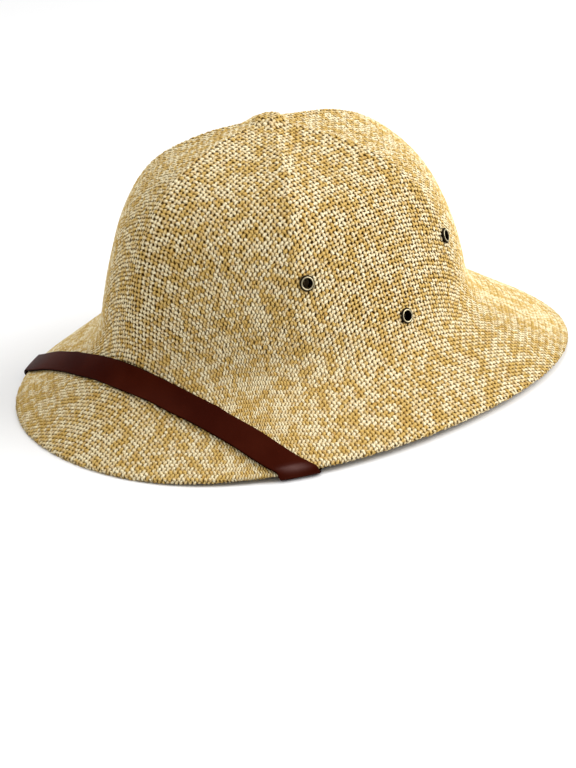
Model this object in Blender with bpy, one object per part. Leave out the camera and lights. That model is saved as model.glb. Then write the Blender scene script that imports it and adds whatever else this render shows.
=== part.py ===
"""A pith helmet moulded in one piece from woven paper straw, with a leather chin strap laid over the
front of its brim and three vent eyelets on each side.

The front of the hat faces -Y, the wearer's left is +X, and the rim rests on the plane z = 0 at its front
and rear. Sizes are in metres. A turn is an angle about the upright axis, in degrees from the front
centre towards the wearer's left. A rise is an angle up from the seat of the crown, in degrees.
"""

from collections import namedtuple

import bmesh
import bpy
import numpy as np
from mathutils import Vector

for thing in list(bpy.data.objects):
    bpy.data.objects.remove(thing, do_unlink=True)

# Crown: each row gives how far the crown reaches from the middle of its seat at that rise, to the front,
# to the side and to the rear, and how deep the panels between the ridges are pressed in, as a share
CrownRow = namedtuple("CrownRow", "rise front side rear dip")
CROWN = (
    CrownRow(0, 0.1145, 0.0985, 0.1125, 0.000),
    CrownRow(12, 0.1145, 0.0970, 0.1175, 0.016),
    CrownRow(25, 0.1175, 0.0987, 0.1225, 0.034),
    CrownRow(38, 0.1215, 0.1044, 0.1250, 0.042),
    CrownRow(52, 0.1220, 0.1100, 0.1220, 0.041),
    CrownRow(66, 0.1186, 0.1102, 0.1177, 0.035),
    CrownRow(79, 0.1153, 0.1115, 0.1143, 0.014),
    CrownRow(90, 0.1138, 0.1138, 0.1138, 0.000),
)
SEAT_HEIGHT = 0.035
CROWN_LEAN = -0.004
CORNER_PULL = -0.015

# Pressed ridges: one at the front centre, one at the rear centre and two on each side
RIDGE_TURNS = (0, 56.7, 119.3, 180)
RIDGE_ROUNDING = 0.06
PANEL_FLATNESS = 0.78

# Knob pressed into the top of the crown
KNOB_HEIGHT = 0.0034
KNOB_TOP_RADIUS = 0.005
KNOB_FOOT_RADIUS = 0.0125

# Brim: half its length and width, how full its corners are, and how much wider it is behind than in front
BRIM_HALF_LENGTH = 0.165
BRIM_HALF_WIDTH = 0.1364
BRIM_CORNER_FULLNESS = 0.043
BRIM_EGG = 0.065
SIDE_LIFT = 0.0032
LEVEL_SINE = 0.25

# Hollow where the crown runs out into the brim
HOLLOW_RISE = 9
HOLLOW_BRIM_SHARE = 0.25

# Straw cloth, and the rounded rim that rests on a narrow flat
STRAW_WALL = 0.0022
RIM_RADIUS = 0.0013
RIM_TOP = 0.0021
HEM_COURSES = 0.2

# Vent eyelets on each side
Vent = namedtuple("Vent", "name turn rise")
VENTS = (
    Vent("front", 60.0, 28.6),
    Vent("low", 91.0, 10.9),
    Vent("rear", 119.5, 25.6),
)
EYELET_BORE_RADIUS = 0.0028
EYELET_BARREL_RADIUS = 0.0032
EYELET_FLANGE_RADIUS = 0.0044
EYELET_DOME = 0.0009
EYELET_EDGE = 0.0003
EYELET_CLINCH_RADIUS = 0.0042
EYELET_CLINCH_DEPTH = 0.0008
EYELET_SIDES = 16
PIECE_GAP = 0.0003
CLINCH_GAP = 0.0009
VENT_HOLE_RADIUS = EYELET_BARREL_RADIUS + PIECE_GAP
CUTTER_LENGTH = 0.012

# Chin strap. Over the brim its edges run from the front centre to the turns where they cross the rim, and
# a row gives their courses at a share of that way. The first row mirrors the third
BrimRow = namedtuple("BrimRow", "way upper_course lower_course")
STRAP_ON_BRIM = (
    BrimRow(-0.2, 1.485, 1.985),
    BrimRow(0.0, 1.405, 1.945),
    BrimRow(0.2, 1.485, 1.985),
    BrimRow(0.4, 1.700, 2.100),
    BrimRow(0.6, 2.030, 2.270),
    BrimRow(0.8, 2.400, 2.555),
    BrimRow(1.0, 3.000, 3.000),
)
# Hidden stretch: the turns of both edges where the strap has gone round the rim, crosses the underside
# of the brim, goes round the edge of the crown's opening and ends inside the crown at the temple
HiddenRow = namedtuple("HiddenRow", "course upper_turn lower_turn")
HIDDEN_STRETCH = (
    HiddenRow(3.0, 57.4, 49.9),
    HiddenRow(4.0, 58.7, 51.0),
    HiddenRow(4.1, 59.9, 52.0),
    HiddenRow(4.5, 68.6, 59.0),
    HiddenRow(5.0, 76.8, 66.4),
    HiddenRow(5.6, 82.3, 73.0),
    HiddenRow(6.2, 84.8, 75.8),
)
STRAP_THICKNESS = 0.0016
STRAP_GAP = 0.0004

# Colours in linear light, and how rough each material is
STRAW_COLOUR = (0.60, 0.40, 0.18)
STRAW_ROUGHNESS = 0.7
LEATHER_COLOUR = (0.040, 0.007, 0.003)
LEATHER_ROUGHNESS = 0.4
BRASS_COLOUR = (0.19, 0.12, 0.04)
BRASS_ROUGHNESS = 0.4

# Fineness of the meshes
STRAP_STEPS_ACROSS = 4
STRAP_STEPS_TO_RIM = 16
STRAP_STEPS_ROUND_RIM = 6
STRAP_STEPS_UNDER_BRIM = 7
STRAP_STEPS_INSIDE = 8
SHARP_ANGLE = 35
STEPS_PER_PANEL = 12
KNOB_RING_RADII = (0.0035, 0.0053, 0.0071, 0.0088, 0.0106, 0.0126)
CROWN_RING_RISES = (80, 74, 68, 62, 56, 50, 44, 38, 32, 26, 20, 14)
INNER_RING_RISES = (14, 20, 26, 32, 38, 50, 62, 74, 87)
OUTER_HOLLOW_STEPS = 6
INNER_HOLLOW_STEPS = 3
BRIM_STEPS = 4
RIM_STEPS = 5
UNDERSIDE_COURSES = (4.06, 4.35, 4.7)
SLOPE_STEP = 0.01

RISES, FRONTS, SIDES, REARS, DIPS = np.array(CROWN).T


def glide(at, places, values, level_end=False):
    """A smooth curve through two columns of a table, read at any place between its rows."""
    slopes = np.gradient(values, places)
    if level_end:
        slopes[-1] = 0
    row = np.clip(np.searchsorted(places, at, side="right") - 1, 0, len(places) - 2)
    span = places[row + 1] - places[row]
    share = (at - places[row]) / span
    start = values[row] * (1 + 2 * share) + slopes[row] * span * share
    end = values[row + 1] * (3 - 2 * share) + slopes[row + 1] * span * (share - 1)
    return start * (1 - share) ** 2 + end * share**2


def ease(share):
    share = np.clip(share, 0, 1)
    return share**2 * (3 - 2 * share)


def panel(turn):
    """How far a point lies from the nearest ridge: 0 on a ridge, about 1 in the middle of a panel."""
    away = np.abs((turn + 180) % 360 - 180)
    wave = np.sin(np.interp(away, RIDGE_TURNS, np.pi * np.arange(len(RIDGE_TURNS))))
    return (np.hypot(wave, RIDGE_ROUNDING) - RIDGE_ROUNDING) ** PANEL_FLATNESS


def crown_skin(turn, rise, knob):
    """The outside of the crown, an oval dome whose panels are pressed in between its ridges."""
    ahead, aside = np.cos(np.radians(turn)), np.sin(np.radians(turn))
    up, out = np.sin(np.radians(rise)), np.cos(np.radians(rise))
    front, side, rear, dip = (glide(rise, RISES, column, True) for column in (FRONTS, SIDES, REARS, DIPS))
    end = np.where(ahead > 0, front, rear)
    sink = 1 - dip * panel(turn)
    pull = 1 + CORNER_PULL * (2 * ahead * aside * out) ** 2
    x = side * out * aside * pull * sink
    y = -end * out * ahead * pull * sink
    z = (side * aside**2 + end * ahead**2) * up * sink
    y = y + CROWN_LEAN * z / FRONTS[-1]
    if knob:
        away = np.hypot(x, y - CROWN_LEAN)
        z = z + KNOB_HEIGHT * ease((KNOB_FOOT_RADIUS - away) / (KNOB_FOOT_RADIUS - KNOB_TOP_RADIUS))
    return np.stack([x, y, z + SEAT_HEIGHT], axis=-1)


def rim_lift(turn):
    """The rim is level at the front and the rear and lifts a little towards the sides."""
    aside = np.abs(np.sin(np.radians(turn)))
    return SIDE_LIFT * ease((aside - LEVEL_SINE) / (1 - LEVEL_SINE))


def rim_edge(turn):
    """Where the top of the brim meets its rounded rim."""
    ahead, aside = np.cos(np.radians(turn)), np.sin(np.radians(turn))
    fullness = 1 + BRIM_CORNER_FULLNESS * (2 * ahead * aside) ** 2
    x = BRIM_HALF_WIDTH * aside * fullness * (1 - BRIM_EGG * ahead)
    y = -BRIM_HALF_LENGTH * ahead * fullness
    return np.stack([x, y, RIM_TOP + rim_lift(turn)], axis=-1)


def brim_skin(turn, share):
    """The top of the brim, straight from the crown's seat to the rim."""
    seat = crown_skin(turn, 0, False)
    return seat + (rim_edge(turn) - seat) * share[..., None]


def top_skin(turn, course):
    """The outside of the hat by courses: 0 at the top, 1 to 2 the hollow under the crown, 3 at the rim."""
    turn, course = np.broadcast_arrays(np.asarray(turn, float), np.asarray(course, float))
    crown = crown_skin(turn, 90 + (HOLLOW_RISE - 90) * np.clip(course, 0, 1), False)
    share = np.clip(course - 1, 0, 1)[..., None]
    foot = crown_skin(turn, HOLLOW_RISE, False)
    seat = crown_skin(turn, 0, False)
    shoulder = brim_skin(turn, np.full(turn.shape, HOLLOW_BRIM_SHARE))
    hollow = foot * (1 - share) ** 2 + 2 * seat * share * (1 - share) + shoulder * share**2
    brim = brim_skin(turn, HOLLOW_BRIM_SHARE + (1 - HOLLOW_BRIM_SHARE) * np.clip(course - 2, 0, 1))
    lower = np.where((course < 2)[..., None], hollow, brim)
    return np.where((course < 1)[..., None], crown, lower)


def course_of(rise):
    return (90 - rise) / (90 - HOLLOW_RISE)


def facing(turn, course):
    """The direction straight out of the straw, from the slopes of its outer skin."""
    course = np.clip(course, SLOPE_STEP, 3 - SLOPE_STEP)
    along = top_skin(turn + SLOPE_STEP, course) - top_skin(turn - SLOPE_STEP, course)
    down = top_skin(turn, course + SLOPE_STEP) - top_skin(turn, course - SLOPE_STEP)
    out = np.cross(down, along)
    return out / np.linalg.norm(out, axis=-1, keepdims=True)


def inside_skin(turn, course):
    """The inside of the hat. Close to the rim the straw thickens to the rim's own thickness."""
    hem = (2 * RIM_RADIUS - STRAW_WALL) * ease((course - 3 + HEM_COURSES) / HEM_COURSES)
    return top_skin(turn, course) - (STRAW_WALL + hem)[..., None] * facing(turn, course)


def rim_frame(turn):
    """The centre of the rounded rim, its outward direction and the angle at which the brim meets it."""
    edge, out = rim_edge(turn), facing(turn, np.full(np.shape(turn), 3.0))
    level = np.linalg.norm(out[..., :2], axis=-1)
    outward = out * (1, 1, 0) / level[..., None]
    return edge - RIM_RADIUS * out, outward, np.arctan2(out[..., 2], level)


def round_rim(turn, angle, radius):
    centre, outward, _ = rim_frame(turn)
    up = np.array((0, 0, 1.0))
    return centre + radius * (np.cos(angle)[..., None] * outward + np.sin(angle)[..., None] * up)


def rim_rings(turns):
    """Rings round the rim from the top of the brim to the inner side of the narrow flat that it rests on."""
    centre, _, top = rim_frame(turns)
    bottom = -np.arcsin((centre[:, 2] - rim_lift(turns)) / RIM_RADIUS)
    steps = np.arange(RIM_STEPS + 1) / RIM_STEPS
    angles = [top + (bottom - top) * step for step in steps] + [-np.pi - bottom]
    return [round_rim(turns, angle, RIM_RADIUS) for angle in angles]


def on_straw(turn, course, proud):
    """A point that stands proud of the straw. Courses run 0 to 3 down the outside, 3 to 4 round the rim
    and 4 to 7 up the inside."""
    turn, course = np.broadcast_arrays(np.asarray(turn, float), np.asarray(course, float))
    above = np.clip(course, 0, 3)
    below = 7 - np.clip(course, 4, 7)
    top = top_skin(turn, above) + proud * facing(turn, above)
    rim = round_rim(turn, rim_frame(turn)[2] - np.pi * np.clip(course - 3, 0, 1), RIM_RADIUS + proud)
    inside = inside_skin(turn, below) - proud * facing(turn, below)
    lower = np.where((course < 4)[..., None], rim, inside)
    return np.where((course < 3)[..., None], top, lower)


def loft(name, sections, material, closed=False):
    """An object with a skin through like sections. Its ends are closed, or it runs back into itself."""
    mesh = bmesh.new()
    rows = [[mesh.verts.new(point) for point in section] for section in sections]
    pairs = list(zip(rows, rows[1:]))
    if closed:
        pairs.append((rows[-1], rows[0]))
    for first, second in pairs:
        for side in range(len(first)):
            after = (side + 1) % len(first)
            mesh.faces.new((first[side], first[after], second[after], second[side]))
    if not closed:
        for row in (rows[0], rows[-1]):
            middle = mesh.verts.new(sum((corner.co for corner in row), Vector()) / len(row))
            for side in range(len(row)):
                mesh.faces.new((row[side], row[(side + 1) % len(row)], middle))
    bmesh.ops.recalc_face_normals(mesh, faces=mesh.faces)
    data = bpy.data.meshes.new(name)
    mesh.to_mesh(data)
    mesh.free()
    data.materials.append(material)
    data.shade_smooth()
    data.set_sharp_from_angle(angle=np.radians(SHARP_ANGLE))
    return place(bpy.data.objects.new(name, data))


def place(thing):
    bpy.context.scene.collection.objects.link(thing)
    return thing


def material(name, colour, roughness, metallic):
    made = bpy.data.materials.new(name)
    made.use_nodes = True
    shader = made.node_tree.nodes["Principled BSDF"]
    shader.inputs["Base Color"].default_value = (*colour, 1)
    shader.inputs["Roughness"].default_value = roughness
    shader.inputs["Metallic"].default_value = metallic
    return made


def even_turns():
    """Turns all round the hat, with one on every ridge."""
    half = []
    for start, end in zip(RIDGE_TURNS, RIDGE_TURNS[1:]):
        half.extend(np.linspace(start, end, STEPS_PER_PANEL, endpoint=False))
    return np.array(half + [180] + [360 - turn for turn in half[:0:-1]])


def make_shell(straw):
    """Crown, knob, brim and rim, one wall of straw cloth from the top outside to the top inside."""
    turns = even_turns()
    knob_rises = [90 - np.degrees(radius / FRONTS[-1]) for radius in KNOB_RING_RADII]
    rings = [crown_skin(turns, rise, True) for rise in (*knob_rises, *CROWN_RING_RISES)]
    rings += [top_skin(turns, course) for course in np.linspace(1, 2, OUTER_HOLLOW_STEPS + 1)]
    rings += [top_skin(turns, course) for course in np.linspace(2, 3, BRIM_STEPS + 1)[1:-1]]
    rings += rim_rings(turns)
    inner_courses = [7 - course for course in UNDERSIDE_COURSES]
    inner_courses += list(np.linspace(2, 1, INNER_HOLLOW_STEPS + 1))
    inner_courses += [course_of(rise) for rise in INNER_RING_RISES]
    rings += [inside_skin(turns, np.full(turns.shape, course)) for course in inner_courses]
    return loft("shell", rings, straw)


def vent_place(vent, side):
    """Where an eyelet sits on the crown, and the direction that it faces."""
    course = course_of(vent.rise)
    spot = Vector(top_skin(side * vent.turn, course))
    reach = np.degrees(EYELET_FLANGE_RADIUS / SIDES[0])
    around = [facing(side * vent.turn + step * reach, course) for step in (-1, 0, 1)]
    return spot, Vector(np.sum(around, axis=0)).normalized()


def sit(thing, spot, direction):
    thing.location = spot
    thing.rotation_mode = "QUATERNION"
    thing.rotation_quaternion = direction.to_track_quat("Z", "Y")


def cut_vents(shell):
    """Holes through the straw for the barrels of the eyelets."""
    cutters = bpy.data.collections.new("vent_cutters")
    bpy.context.scene.collection.children.link(cutters)
    mesh = bmesh.new()
    bmesh.ops.create_cone(
        mesh,
        cap_ends=True,
        segments=EYELET_SIDES,
        radius1=VENT_HOLE_RADIUS,
        radius2=VENT_HOLE_RADIUS,
        depth=CUTTER_LENGTH,
    )
    data = bpy.data.meshes.new("vent_cutter")
    mesh.to_mesh(data)
    mesh.free()
    for side in (1, -1):
        for vent in VENTS:
            cutter = bpy.data.objects.new("vent_cutter", data)
            cutters.objects.link(cutter)
            sit(cutter, *vent_place(vent, side))
            cutter.hide_render = True
            cutter.display_type = "WIRE"
    cut = shell.modifiers.new("vents", "BOOLEAN")
    cut.operand_type = "COLLECTION"
    cut.collection = cutters
    cut.operation = "DIFFERENCE"
    cut.solver = "EXACT"


def eyelet_profile():
    """The section of an eyelet, as radius and height over the straw: a domed flange, the barrel through
    the wall and the end of the barrel clinched outwards inside the crown."""
    under = PIECE_GAP
    edge = under + EYELET_EDGE
    top = under + EYELET_DOME
    inner = -STRAW_WALL - CLINCH_GAP
    crest = (EYELET_BORE_RADIUS + EYELET_FLANGE_RADIUS) / 2
    return (
        (EYELET_BORE_RADIUS, under),
        ((EYELET_BORE_RADIUS + crest) / 2, top - EYELET_EDGE / 2),
        (crest, top),
        ((crest + EYELET_FLANGE_RADIUS) / 2, top - EYELET_EDGE / 2),
        (EYELET_FLANGE_RADIUS, edge),
        (EYELET_FLANGE_RADIUS, under),
        (EYELET_BARREL_RADIUS, under),
        (EYELET_BARREL_RADIUS, inner),
        (EYELET_CLINCH_RADIUS, inner),
        (EYELET_CLINCH_RADIUS, inner - EYELET_CLINCH_DEPTH / 2),
        (EYELET_BORE_RADIUS, inner - EYELET_CLINCH_DEPTH),
    )


def make_eyelets(brass):
    """Six like eyelets that share one mesh."""
    spin = np.arange(EYELET_SIDES) * 2 * np.pi / EYELET_SIDES
    rings = [
        np.stack([radius * np.cos(spin), radius * np.sin(spin), np.full(EYELET_SIDES, height)], axis=-1)
        for radius, height in eyelet_profile()
    ]
    made = []
    for side, side_name in ((1, "left"), (-1, "right")):
        for vent in VENTS:
            name = f"eyelet_{side_name}_{vent.name}"
            if made:
                eyelet = place(bpy.data.objects.new(name, made[0].data))
            else:
                eyelet = loft(name, rings, brass, closed=True)
            sit(eyelet, *vent_place(vent, side))
            made.append(eyelet)
    return made


def hidden_turn(course, courses, turns):
    """The turn of one edge past the rim, which it rounds evenly before it bends away underneath."""
    if course < courses[1]:
        return np.interp(course, courses, turns)
    return glide(course, courses[1:], turns[1:])


def strap_stations():
    """Both edges of the strap as rows of turn and course, from the front centre to its end inside."""
    ways, upper_courses, lower_courses = np.array(STRAP_ON_BRIM).T
    courses, upper_turns, lower_turns = np.array(HIDDEN_STRETCH).T
    rows = []
    for way in np.linspace(0, 1, STRAP_STEPS_TO_RIM + 1):
        upper, lower = glide(way, ways, upper_courses), glide(way, ways, lower_courses)
        rows.append((way * upper_turns[0], upper, way * lower_turns[0], lower))
    stretches = (
        (3, 4, STRAP_STEPS_ROUND_RIM),
        (4, 5, STRAP_STEPS_UNDER_BRIM),
        (5, courses[-1], STRAP_STEPS_INSIDE),
    )
    for start, end, steps in stretches:
        for course in np.linspace(start, end, steps + 1)[1:]:
            upper, lower = (hidden_turn(course, courses, turns) for turns in (upper_turns, lower_turns))
            rows.append((upper, course, lower, course))
    return rows


def strap_section(side, row):
    """The outline of the strap across one row: its face on the straw, then its outer face."""
    upper_turn, upper_course, lower_turn, lower_course = row
    across = np.linspace(0, 1, STRAP_STEPS_ACROSS + 1)
    turns = side * (upper_turn + (lower_turn - upper_turn) * across)
    courses = upper_course + (lower_course - upper_course) * across
    under = on_straw(turns, courses, STRAP_GAP)
    outer = on_straw(turns, courses, STRAP_GAP + STRAP_THICKNESS)
    return np.concatenate([under, outer[::-1]])


def make_chin_strap(leather):
    """The whole strap, from its end inside the right temple over the front to the left one."""
    rows = strap_stations()
    right = [strap_section(-1, row) for row in rows[:0:-1]]
    left = [strap_section(1, row) for row in rows]
    return loft("chin_strap", right + left, leather)


def main():
    straw = material("straw", STRAW_COLOUR, STRAW_ROUGHNESS, 0)
    leather = material("leather", LEATHER_COLOUR, LEATHER_ROUGHNESS, 0)
    brass = material("brass", BRASS_COLOUR, BRASS_ROUGHNESS, 1)
    helmet = place(bpy.data.objects.new("pith_helmet", None))
    shell = make_shell(straw)
    cut_vents(shell)
    for piece in (shell, make_chin_strap(leather), *make_eyelets(brass)):
        piece.parent = helmet


main()
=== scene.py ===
"""The looks of a pith helmet: straw cloth woven yarn by yarn over its shape, a leather chin strap laid
over its brim and six brass vent eyelets, on a pale floor in soft studio light.

The front of the hat faces -Y, the wearer's left is +X, and the rim rests on the plane z = 0 at its front
and rear. Sizes are in metres. A turn is an angle about the upright axis, in degrees from the front
centre towards the wearer's left. A course runs 0 to 3 down the outside of the hat, from top to rim.
"""

from collections import namedtuple

import bmesh
import bpy
import numpy as np
from mathutils import Matrix, Vector


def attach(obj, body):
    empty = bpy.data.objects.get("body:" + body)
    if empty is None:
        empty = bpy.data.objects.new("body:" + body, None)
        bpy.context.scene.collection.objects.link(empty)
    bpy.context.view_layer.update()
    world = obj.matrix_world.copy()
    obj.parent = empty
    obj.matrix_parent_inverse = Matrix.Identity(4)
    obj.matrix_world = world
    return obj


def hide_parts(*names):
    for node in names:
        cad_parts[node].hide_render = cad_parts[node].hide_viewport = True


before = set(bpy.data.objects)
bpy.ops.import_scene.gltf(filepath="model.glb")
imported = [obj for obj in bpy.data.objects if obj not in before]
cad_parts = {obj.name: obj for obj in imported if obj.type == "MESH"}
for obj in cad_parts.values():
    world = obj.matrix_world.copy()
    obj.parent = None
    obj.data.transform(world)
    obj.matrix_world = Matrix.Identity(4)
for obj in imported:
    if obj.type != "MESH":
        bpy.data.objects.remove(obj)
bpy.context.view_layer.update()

bl_info = {
    "name": "Pith helmet",
    "version": (1, 0, 0),
    "blender": (4, 5, 0),
    "location": "View3D > Sidebar > Pith helmet",
    "description": "Weaves a pith helmet of straw with its chin strap and vent eyelets",
    "category": "Add Mesh",
}

# Crown: each row gives how far the crown reaches from the middle of its seat at that rise, to the front,
# to the side and to the rear, and how deep the panels between the ridges are pressed in, as a share
CrownRow = namedtuple("CrownRow", "rise front side rear dip")
CROWN = (
    CrownRow(0, 0.1145, 0.0985, 0.1125, 0.000),
    CrownRow(12, 0.1145, 0.0970, 0.1175, 0.016),
    CrownRow(25, 0.1175, 0.0987, 0.1225, 0.034),
    CrownRow(38, 0.1215, 0.1044, 0.1250, 0.042),
    CrownRow(52, 0.1220, 0.1100, 0.1220, 0.041),
    CrownRow(66, 0.1186, 0.1102, 0.1177, 0.035),
    CrownRow(79, 0.1153, 0.1115, 0.1143, 0.014),
    CrownRow(90, 0.1138, 0.1138, 0.1138, 0.000),
)
RISES, FRONTS, SIDES, REARS, DIPS = np.array(CROWN).T
# The crown's top stands a little ahead of its seat, and its four corners are pulled in by a share
SEAT_HEIGHT = 0.035
CROWN_LEAN = -0.004
CORNER_PULL = -0.015

# Pressed ridges: one at the front centre, one at the rear centre and two on each side
RIDGE_TURNS = (0, 56.7, 119.3, 180)
RIDGE_ROUNDING = 0.06
PANEL_FLATNESS = 0.78

# Knob pressed into the top of the crown
KNOB_HEIGHT = 0.0034
KNOB_TOP_RADIUS = 0.005
KNOB_FOOT_RADIUS = 0.0125

# Brim: half its length and width, how full its corners are, and how much wider it is behind than in front
BRIM_HALF_LENGTH = 0.165
BRIM_HALF_WIDTH = 0.1364
BRIM_CORNER_FULLNESS = 0.043
BRIM_EGG = 0.065
# Its rim is level while the sine of the turn is below this, and lifts from there to the sides
SIDE_LIFT = 0.0032
LEVEL_SINE = 0.25

# Hollow where the crown runs out into the brim
HOLLOW_RISE = 9
HOLLOW_BRIM_SHARE = 0.25

# Straw cloth and its folded rim
STRAW_WALL = 0.0022
RIM_RADIUS = 0.0013
RIM_TOP = 0.0021
HEM_COURSES = 0.2

# Vent eyelets on each side
Vent = namedtuple("Vent", "name turn rise")
VENTS = (
    Vent("front", 60.0, 28.6),
    Vent("low", 91.0, 10.9),
    Vent("rear", 119.5, 25.6),
)
EYELET_BORE_RADIUS = 0.0028
EYELET_BARREL_RADIUS = 0.0032
EYELET_FLANGE_RADIUS = 0.0044
EYELET_DOME = 0.0009
EYELET_CLINCH_RADIUS = 0.0042
EYELET_CLINCH_DEPTH = 0.0008
PIECE_GAP = 0.0003
CLINCH_GAP = 0.0009
# Edges of the brass that turn by more degrees than this stay crisp
EYELET_SHARP_ANGLE = 50

# Sections: each point gives a share of the width and a share of the height
Point = namedtuple("Point", "across height")
# The eyelet's rolled flange, from the bore outwards
FLANGE_SECTION = (
    Point(0.00, 0.10),
    Point(0.01, 0.45),
    Point(0.06, 0.74),
    Point(0.15, 0.92),
    Point(0.27, 1.00),
    Point(0.39, 0.97),
    Point(0.50, 0.84),
    Point(0.60, 0.66),
    Point(0.72, 0.50),
    Point(0.86, 0.38),
    Point(0.96, 0.26),
    Point(1.00, 0.12),
    Point(0.99, 0.00),
)
# The eyelet's end clinched over inside the crown, from its edge back to the bore
CLINCH_SECTION = (
    Point(0.93, 0.00),
    Point(1.00, 0.25),
    Point(0.86, 0.75),
    Point(0.50, 1.00),
    Point(0.12, 0.80),
    Point(0.00, 0.40),
)

# Chin strap. Over the brim its edges run from the front centre to the turns where they cross the rim, and
# a row gives their courses at a share of that way. The first row mirrors the third
BrimRow = namedtuple("BrimRow", "way upper_course lower_course")
STRAP_ON_BRIM = (
    BrimRow(-0.2, 1.485, 1.985),
    BrimRow(0.0, 1.405, 1.945),
    BrimRow(0.2, 1.485, 1.985),
    BrimRow(0.4, 1.700, 2.100),
    BrimRow(0.6, 2.030, 2.270),
    BrimRow(0.8, 2.400, 2.555),
    BrimRow(1.0, 3.000, 3.000),
)
# Hidden stretch: the turns of both edges where the strap has gone round the rim, crosses the underside
# of the brim, goes round the edge of the crown's opening and ends inside the crown at the temple
HiddenRow = namedtuple("HiddenRow", "course upper_turn lower_turn")
HIDDEN_STRETCH = (
    HiddenRow(3.0, 57.4, 49.9),
    HiddenRow(4.0, 58.7, 51.0),
    HiddenRow(4.1, 59.9, 52.0),
    HiddenRow(4.5, 68.6, 59.0),
    HiddenRow(5.0, 76.8, 66.4),
    HiddenRow(5.6, 82.3, 73.0),
    HiddenRow(6.2, 84.8, 75.8),
)
STRAP_WIDTH = 0.0166
STRAP_THICKNESS = 0.0016
STRAP_GAP = 0.0004
# The strap's section, over its face from the upper edge to the lower and back along its underside
STRAP_SECTION = (
    Point(0.000, 0.50),
    Point(0.003, 0.74),
    Point(0.012, 0.91),
    Point(0.030, 0.985),
    Point(0.060, 1.00),
    Point(0.150, 1.00),
    Point(0.300, 1.00),
    Point(0.500, 1.00),
    Point(0.700, 1.00),
    Point(0.850, 1.00),
    Point(0.940, 1.00),
    Point(0.970, 0.985),
    Point(0.988, 0.91),
    Point(0.997, 0.74),
    Point(1.000, 0.50),
    Point(0.997, 0.20),
    Point(0.980, 0.03),
    Point(0.940, 0.00),
    Point(0.750, 0.00),
    Point(0.500, 0.00),
    Point(0.250, 0.00),
    Point(0.060, 0.00),
    Point(0.020, 0.03),
    Point(0.003, 0.20),
)
STRAP_STEPS_TO_RIM = 72
STRAP_STEPS_ROUND_RIM = 14
STRAP_STEPS_UNDER_BRIM = 28
STRAP_STEPS_INSIDE = 24
# A highlight is painted on the leather in a band that lies this far before the fold over the rim
FOLD_HIGHLIGHT_LEAD = 0.0012
FOLD_HIGHLIGHT_REACH = 0.0021

# Slopes of the straw are read over this much turn and course
SLOPE_STEP = 0.01

# The drape of the cloth: it was one flat square of plain weave, pressed over the block. Each new crossing
# is solved for in a few steps, and left out where its yarns would stretch by more than a share of a pitch
DRAPE_PRESS = 0.6
DRAPE_REACH = 3.5
LADDER_RUNGS = 3500
SOLVE_STEPS = 7
SOLVE_SLOPE = 1e-5
LONGEST_STEP = 0.02
PITCH_SLIP = 1e-3
# How far the crossings stray from where they were solved, in pitches
CROSSING_WANDER = 0.045
WANDER_SEED = 7

# A yarn lies level over each crossing for this share of a pitch to either side, and dives between
QUARTER = 0.25
# The yarns stop at the holes that the vents are punched through
VENT_CUT_RADIUS = 0.0037
VENT_CUT_STEPS = 21
# Crosswise yarns are numbered from here, past all the lengthwise ones
FIRST_CROSSWISE = 500
# In the map that follows a yarn, the way round it stops just short of the next yarn's number
WAY_ROUND = 0.999
# The map that lays the yarns out gives each of their steps a tile this much wider than it is high, with a
# margin to either side of the yarn
BAKE_TILE_SHAPE = 1.6
BAKE_MARGIN = 0.1
# What the Geometry Nodes are told at each point of a yarn
YARN_FIELDS = {
    "out": "FLOAT_VECTOR",
    "across": "FLOAT_VECTOR",
    "lift": "FLOAT",
    "thick": "FLOAT",
    "half_width": "FLOAT",
}

# Paper of the yarns. A step holds the two values of a pattern between which one look gives way to another,
# a rate counts for each pitch, a scale for each metre, and a shift parts the patterns of two yarns
BLOTCH_SHIFT = 7.31
CLOUD_SHARE = 0.45
TINT_STEP = (0.42, 0.58)
STAIN_RATE = 1.1
STAIN_SHIFT = 3.7
STAIN_STEP = (0.48, 0.72)
STAIN_DEPTH = 0.55
# Painted shade darkens the grooves of the twist and the sides of each yarn
GROOVE_STEP = (-1.0, -0.2)
GROOVE_SHADE = 0.35
GROOVE_DEPTH = 0.00006
SIDE_STEP = (0.75, 0.05)
PAPER_ROUGHNESS = 0.60
TAN_SHEEN = 0.12
PAPER_SPECULAR = 0.03

# Holes of the weave, darkened with painted shade: widest half-way up the crown, they open over the first
# heights and partly close over the second, and each is a little larger or smaller than the next
HOLE_LENGTH = 0.7
HOLE_STEP = (1.0, 0.45)
OPENING_HEIGHTS = (0.025, 0.065)
CLOSING_HEIGHTS = (0.100, 0.142)
CLOSING_SHARE = 0.7
HOLE_GROWTH = 0.28
HOLE_DEEPENING = 0.16
HOLE_ODDS = 0.8
HOLE_ODDS_SCALE = 420.0

# Finish of the leather
WEAR_SCALE = 28.0
WEAR_STEP = (0.35, 0.75)
WEAR_ROUGHNESS = 0.12
PORE_SCALE = 1900.0
PORE_DEPTH = 0.00004
EDGE_ROUNDING = 0.0006
EDGE_DARK_REACH = 0.0004
EDGE_ROUGHNESS = 0.2
LEATHER_SPECULAR = 0.012

# Finish of the brass. Its flange is rubbed round a crest at a share of its width, where a highlight is
# painted too, and brightest over shares of the crest's reach and of the flange's height
CREST_SHARE = 0.30
CREST_REACH = 0.00045
CREST_CORE = 0.35
CREST_HEIGHTS = (0.35, 0.7)
LEAST_RUB_AND_HIGHLIGHT = 0.55
CLOUD_RUB_AND_HIGHLIGHT = 0.9
TARNISH_SCALE = 900.0
SCRATCH_SCALE = 5200.0
SCRATCH_DEPTH = 0.00002
PATINA_ROUGHNESS = 0.62
CREST_SHEEN = 0.34
TARNISH_ROUGHNESS = 0.1

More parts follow.
